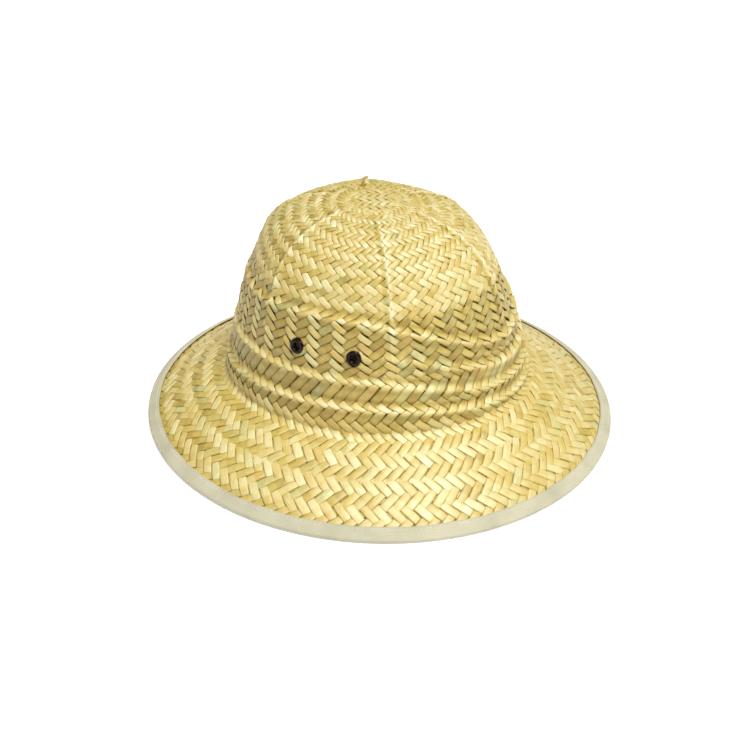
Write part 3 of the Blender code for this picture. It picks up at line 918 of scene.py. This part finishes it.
def tape_path(offset, flat_points, arc_points):
    """Points at one distance from the plait along a fold: the upper face, an arc round each corner, the lower
    face. Each row is (out, up) in the slope's own directions."""
    inwards = CLEARANCE + TAPE_THICKNESS - offset
    upper, lower = UPPER_ROUND - inwards, LOWER_ROUND - inwards
    bottom = -WALL - offset
    flat = np.linspace(-TAPE_REACH, offset - upper, flat_points)
    turn = np.radians(np.linspace(90, 0, arc_points))[1:]
    upper_arc = np.stack([offset - upper + upper * np.cos(turn), offset - upper + upper * np.sin(turn)], axis=1)
    turn = np.radians(np.linspace(0, -90, arc_points + 1))[:-1]
    lower_arc = np.stack([offset - lower + lower * np.cos(turn), bottom + lower + lower * np.sin(turn)], axis=1)
    top = np.stack([flat, np.full(flat_points, offset)], axis=1)
    under = np.stack([flat[::-1], np.full(flat_points, bottom)], axis=1)
    return np.concatenate([top, upper_arc, lower_arc, under])


def slope_place(angle, out, up):
    """Rim edge + heading * (out cos s + up sin s) + vertical * (up cos s - out sin s), s being the slope."""
    edge, heading = rim_edge(angle)
    outwards = out * math.cos(RIM_SLOPE) + up * math.sin(RIM_SLOPE)
    upwards = up * math.cos(RIM_SLOPE) - out * math.sin(RIM_SLOPE)
    vertical = np.array([0.0, 0.0, 1.0])
    return edge + heading * outwards[..., None] + vertical * upwards[..., None]


def make_binding():
    """Closed ring of the fold's outer and inner face. Groove = depth * exp(-((out + reach - inset) / width)^2);
    the inner edge waves by a few sines and lifts midway between stitches."""
    angle, rim_length = even_angles(RIM_SAMPLES)
    outer = tape_path(CLEARANCE + TAPE_THICKNESS, FLAT_POINTS, ARC_POINTS)
    inner = tape_path(CLEARANCE, 3, 3)[::-1]
    section = np.concatenate([outer, inner])
    is_outer = (np.arange(len(section)) < len(outer))[:, None]
    out = section[:, 0][:, None] + 0 * angle
    up = section[:, 1][:, None] + 0 * angle
    face_side = np.where(up > -WALL / 2, 1.0, -1.0)
    from_edge = out + TAPE_REACH
    wave = 0.6 * np.sin(23 * angle + 1) + 0.4 * np.sin(57 * angle + 2)
    stitch_phase = np.arange(RIM_SAMPLES) / RIM_SAMPLES * STITCH_COUNT * 2 * math.pi
    near_edge = np.exp(-(from_edge / (3 * MM)) ** 2)
    groove = GROOVE_DEPTH * (0.75 - 0.25 * np.cos(stitch_phase)) * np.exp(
        -((from_edge - STITCH_INSET) / GROOVE_WIDTH) ** 2)
    pucker = PUCKER_HEIGHT * np.cos(stitch_phase + 0.6 * wave) * near_edge
    out = out + EDGE_WAVE * wave * near_edge
    up = up + face_side * is_outer * (pucker - groove)
    points = slope_place(angle[None, :] + 0 * out, out, up)

    faces = ring_faces(*out.shape)
    run = np.concatenate([[0.0], np.cumsum(np.hypot(*np.diff(section, axis=0).T))])
    length = np.arange(RIM_SAMPLES) * rim_length / RIM_SAMPLES
    uv = np.stack(np.broadcast_arrays(length[None, :] / (10 * MM), run[:, None] / (10 * MM)), axis=-1)
    piece = make_piece("binding_tape", points, faces, uv)
    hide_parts("brim_binding")
    width = float(np.hypot(*np.diff(outer, axis=0).T).sum())
    piece["flat_width"], piece["flat_length"] = width, rim_length
    print("rim length", round(rim_length, 4), "m, tape width", round(width * 1000, 1), "mm")
    return piece


binding = make_binding()

# %% [markdown]
# Each stitch is a short run of thread that dips into the tape at both ends. All stitches of a side are one
# mesh, because they are the same tube at many places.

# %% Stitches
STITCH_SHARE = 0.80
THREAD_RADIUS = 0.26 * MM
STITCH_RINGS, STITCH_SIDES = 6, 6
THREAD_CAPS = ((0, 1, 2, 3), (0, 3, 4, 5))


def make_stitches():
    """Tube of thread along the rim. Its height is radius * (0.95 - 1.7 * t^4) over the tape, t running from -1
    to 1 along a stitch."""
    angle, rim_length = even_angles(STITCH_COUNT)
    edge_now, _ = rim_edge(angle)
    edge_next, _ = rim_edge(angle + 0.001)
    per_radian = np.linalg.norm(edge_next - edge_now, axis=1) / 0.001
    half = 0.5 * STITCH_SHARE * rim_length / STITCH_COUNT
    t = np.linspace(-1, 1, STITCH_RINGS)
    around = np.arange(STITCH_SIDES) * 2 * math.pi / STITCH_SIDES
    slant = rng.normal(0, 0.10 * MM, (2, STITCH_COUNT, 1, 1))
    side = np.array([1.0, -1.0])[:, None, None, None]
    ring_angle = angle[:, None, None] + (half / per_radian)[:, None, None] * t[:, None]
    thin = np.sqrt(np.maximum(1 - (0.98 * t[:, None]) ** 6, 0.02))
    across = THREAD_RADIUS * np.cos(around) * thin
    rise = THREAD_RADIUS * np.sin(around) * thin
    face = CLEARANCE + TAPE_THICKNESS - GROOVE_DEPTH
    height = face + THREAD_RADIUS * (0.95 - 1.7 * t[:, None] ** 4) + rise
    out = -TAPE_REACH + STITCH_INSET + across + slant * t[:, None]
    up = np.where(side > 0, height, -WALL - height)
    out, up, ring_angle = np.broadcast_arrays(out, up, ring_angle[None] + 0 * side)
    points = slope_place(ring_angle, out, up)
    strips = 2 * STITCH_COUNT
    faces = tube_faces(np.ones((strips, STITCH_RINGS), bool), STITCH_SIDES, THREAD_CAPS)
    upper = faces.max(axis=1) < STITCH_COUNT * STITCH_RINGS * STITCH_SIDES
    faces[upper] = faces[upper][:, ::-1]
    piece = make_piece("binding_stitches", points, faces)
    return piece


stitches = make_stitches()

# %% [markdown]
# Eyelets are stamped from thin sheet: a domed flange outside, a smooth throat and a curled rim inside.
# The profile is turned about the eyelet's axis and set square to the block.

# %% Eyelets
TURN_STEPS = 56


def eyelet_profile():
    """(radius, height) pairs: down the throat, round the curl inside, up under the flange and over its dome,
    which is height * sin^0.8 of the way across it."""
    bore, flange, top = EYELET_BORE_RADIUS, EYELET_FLANGE_RADIUS, EYELET_FLANGE_HEIGHT
    under, inside = -EYELET_SEAT_DEPTH + CLEARANCE, -WALL + EYELET_SEAT_DEPTH - CLEARANCE
    swing = np.radians(np.linspace(12, 168, 13))
    dome_radius = (bore + flange) / 2 + (flange - bore) / 2 * np.cos(swing)
    dome_height = 0.1 * top + 0.9 * top * np.sin(swing) ** 0.8
    dome = np.stack([dome_radius, dome_height], axis=1)
    curl = np.array([
        (bore, 0.2 * top), (bore, inside - 0.4 * top), (bore + 0.25 * MM, inside - 0.62 * top),
        (flange - 0.42 * bore, inside - 0.62 * top), (flange - 0.30 * bore, inside - 0.35 * top),
        (flange - 0.30 * bore, inside), (bore + EYELET_BARREL, inside), (bore + EYELET_BARREL, under),
        (flange - 0.15 * MM, under), (flange, under + 0.2 * MM),
    ])
    return np.concatenate([dome, curl])


def make_eyelet(name, place):
    """Points: centre + radius * (cos t * sideways + sin t * up) + height * outwards."""
    centre, sideways, up, outwards = place
    profile = eyelet_profile()
    turn = np.arange(TURN_STEPS) * 2 * math.pi / TURN_STEPS
    spoke = np.cos(turn)[:, None] * sideways + np.sin(turn)[:, None] * up
    points = centre + profile[:, 0][:, None, None] * spoke + profile[:, 1][:, None, None] * outwards
    faces = ring_faces(len(profile), TURN_STEPS)[:, [0, 3, 2, 1]]
    piece = make_piece(f"{name}_turned", points, faces)
    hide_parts(name)
    return piece


eyelets = [make_eyelet(name, place) for name, place in EYELETS.items()]
print(len(eyelets), "eyelets of", len(eyelets[0].data.polygons) * 2, "triangles")

# %% [markdown]
# The plaiter leaves the tip of the last strip standing at the very top. It is one flat strip that comes out
# of the plait, rises and curls over.

# %% Straw end
LOOP_RISE, LOOP_ANGLE = 0.99, math.radians(124)
LOOP_HEIGHT, LOOP_BEND, LOOP_WIDTH, LOOP_THICKNESS = 5.6 * MM, 3.2 * MM, 1.9 * MM, 1.6 * MM


def make_straw_end():
    """Centre line: height = H * sin(90 degrees * s^0.9) less a sunk root, lean = -bend * s^3, for s from 0 to 1.
    The section keeps square to that line, twists by 15 degrees and narrows a little to the tip."""
    centre, sideways, up, outwards = crown_frame(LOOP_RISE, LOOP_ANGLE)
    share = np.linspace(0, 1, 22)
    height = LOOP_HEIGHT * np.sin(0.5 * math.pi * share ** 0.9) - 0.9 * MM * (1 - share) ** 2
    lean = -LOOP_BEND * share ** 3
    twist = math.radians(15) * share[:, None]
    narrow = (1 - 0.12 * share ** 3)[:, None]
    flat = STRIP_SECTION[:, 0] * LOOP_WIDTH / 2 * narrow
    thick = STRIP_SECTION[:, 1] * LOOP_THICKNESS * narrow
    across = flat * np.cos(twist) - thick * np.sin(twist)
    through = flat * np.sin(twist) + thick * np.cos(twist)
    turn = np.arctan2(np.gradient(height), np.gradient(lean))[:, None]
    aside = lean[:, None] + across * np.sin(turn)
    rise = height[:, None] - across * np.cos(turn)
    points = centre + aside[..., None] * sideways + through[..., None] * up + rise[..., None] * outwards
    piece = strip_piece(
        "straw_end", points[None], np.ones((1, len(share)), bool), 2 * share[None], turned_over=True,
        tone=0.22, hue=0.22, over=0.88, deep=0.0,
    )
    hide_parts("crown_loop")
    piece.data.materials.append(straw)
    print(piece.name, "top at", round(float(points[..., 2].max()), 4))
    return piece


straw_end = make_straw_end()

# %% [markdown]
# Cotton tape: a plain weave at the right scale, from two sets of sine ridges on the tape's own UV, and a
# faint darkening where hands and dust have been.

# %% Cotton
def cotton_material(name, colour, shade_colour, weave):
    shade = Shade(name)
    place = shade.node("ShaderNodeTexCoord", output=3)
    dust = shade.node("ShaderNodeTexNoise", inputs={"Vector": place, "Scale": 60.0, "Detail": 4.0})
    dust = shade.node("ShaderNodeMapRange", inputs={"Value": dust, "From Min": 0.35, "From Max": 0.75})
    base = shade.blend(dust, colour, shade_colour)
    if not weave:
        return shade.shape(Base_Color=base, Roughness=0.8)
    uv = shade.node("ShaderNodeUVMap", {"uv_map": "strip"})
    warp, weft, ribs = (
        shade.node("ShaderNodeTexWave", {"bands_direction": way}, {"Vector": uv, "Scale": scale, "Distortion": bent})
        for way, scale, bent in (("X", 7.0, 0.4), ("Y", 7.0, 0.4), ("Y", 1.7, 1.5))
    )
    threads = (warp + weft) * 0.5
    base = shade.blend((1 - threads) * 0.25 + (1 - ribs) * 0.22, base, shade_colour)
    bump = shade.node("ShaderNodeBump", inputs={"Strength": 0.5, "Distance": 0.00025, "Height": threads})
    return shade.shape(Base_Color=base, Roughness=0.85, Normal=bump)


tape_cotton = cotton_material("tape_cotton", rgb(0.63, 0.60, 0.435), rgb(0.48, 0.46, 0.315), True)
binding.data.materials.append(tape_cotton)
thread_cotton = cotton_material("thread_cotton", rgb(0.72, 0.69, 0.55), rgb(0.58, 0.56, 0.42), False)
stitches.data.materials.append(thread_cotton)
print("cotton on", binding.name, "and", stitches.name)

# %% [markdown]
# Eyelets are brass under dark brown lacquer, which has rubbed thin in places.

# %% Lacquered metal
def lacquer_material():
    shade = Shade("brown_lacquer")
    place = shade.node("ShaderNodeTexCoord", output=3)
    wear = shade.node("ShaderNodeTexNoise", inputs={"Vector": place, "Scale": 900.0, "Detail": 4.0})
    rubbed = shade.node("ShaderNodeMapRange", inputs={"Value": wear, "From Min": 0.60, "From Max": 0.74})
    colour = shade.blend(rubbed, rgb(0.009, 0.003, 0.002), rgb(0.07, 0.022, 0.014))
    return shade.shape(Base_Color=colour, Roughness=0.16 + 0.2 * wear, Specular_IOR_Level=0.22)


lacquer = lacquer_material()
for piece in eyelets:
    piece.data.materials.append(lacquer)
print("lacquer on", len(eyelets), "eyelets")

# %% [markdown]
# The photo is a bright catalogue picture: white ground, soft light from high up and a little towards the
# hat's front, and almost no shadow. A broad sun gives the strips their small shadows, and a dim white world
# fills them. The world is brighter near the horizon, so that side views have a pale background too.

# %% Floor and light
FLOOR_SIZE = 6.0


def sun_light(name, azimuth, elevation, width, strength, colour):
    """Sun that shines from an azimuth, counted from the hat's front, and an elevation."""
    data = bpy.data.lights.new(name, "SUN")
    data.angle = width
    data.energy = strength
    data.color = colour
    light = bpy.data.objects.new(name, data)
    towards = Vector((
        math.sin(azimuth) * math.cos(elevation), -math.cos(azimuth) * math.cos(elevation), math.sin(elevation),
    ))
    light.rotation_euler = towards.to_track_quat("Z", "Y").to_euler()
    bpy.context.scene.collection.objects.link(light)
    return light


def studio_world(horizon, overhead, band):
    """White world of strength overhead + (horizon - overhead) * (1 - |z| / band), z being the direction's."""
    world = bpy.data.worlds.new("studio")
    world.use_nodes = True
    nodes, links = world.node_tree.nodes, world.node_tree.links
    parts = nodes.new("ShaderNodeSeparateXYZ")
    links.new(nodes.new("ShaderNodeTexCoord").outputs["Generated"], parts.inputs[0])
    height = nodes.new("ShaderNodeMath")
    height.operation = "ABSOLUTE"
    links.new(parts.outputs["Z"], height.inputs[0])
    strength = nodes.new("ShaderNodeMapRange")
    strength.inputs["From Max"].default_value = band
    strength.inputs["To Min"].default_value = horizon
    strength.inputs["To Max"].default_value = overhead
    links.new(height.outputs[0], strength.inputs["Value"])
    links.new(strength.outputs["Result"], nodes["Background"].inputs["Strength"])
    nodes["Background"].inputs["Color"].default_value = rgb(1.0, 1.0, 1.0)
    return world


half = FLOOR_SIZE / 2
floor_mesh = bpy.data.meshes.new("floor")
floor_corners = [(-half, -half, 0), (half, -half, 0), (half, half, 0), (-half, half, 0)]
floor_mesh.from_pydata(floor_corners, [], [(0, 1, 2, 3)])
floor = bpy.data.objects.new("floor", floor_mesh)
bpy.context.scene.collection.objects.link(floor)
floor_paint = Shade("floor_paint")
floor_place = floor_paint.node("ShaderNodeTexCoord", output=3)
from_hat = floor_paint.node("ShaderNodeVectorMath", {"operation": "LENGTH"}, {0: floor_place}, output=1)
glow = floor_paint.node("ShaderNodeMapRange", inputs={"Value": from_hat, "From Min": 0.12, "From Max": 0.15})
floor_mesh.materials.append(floor_paint.shape(
    Base_Color=rgb(0.92, 0.92, 0.92), Roughness=0.9, Emission_Color=glow, Emission_Strength=0.3,
))

bpy.context.scene.world = studio_world(0.55, 0.19, 0.16)
key = sun_light("key", math.radians(-40), math.radians(69.5), math.radians(22), 3.55, (1.0, 0.985, 0.97))
bpy.context.scene.view_settings.view_transform = "Standard"
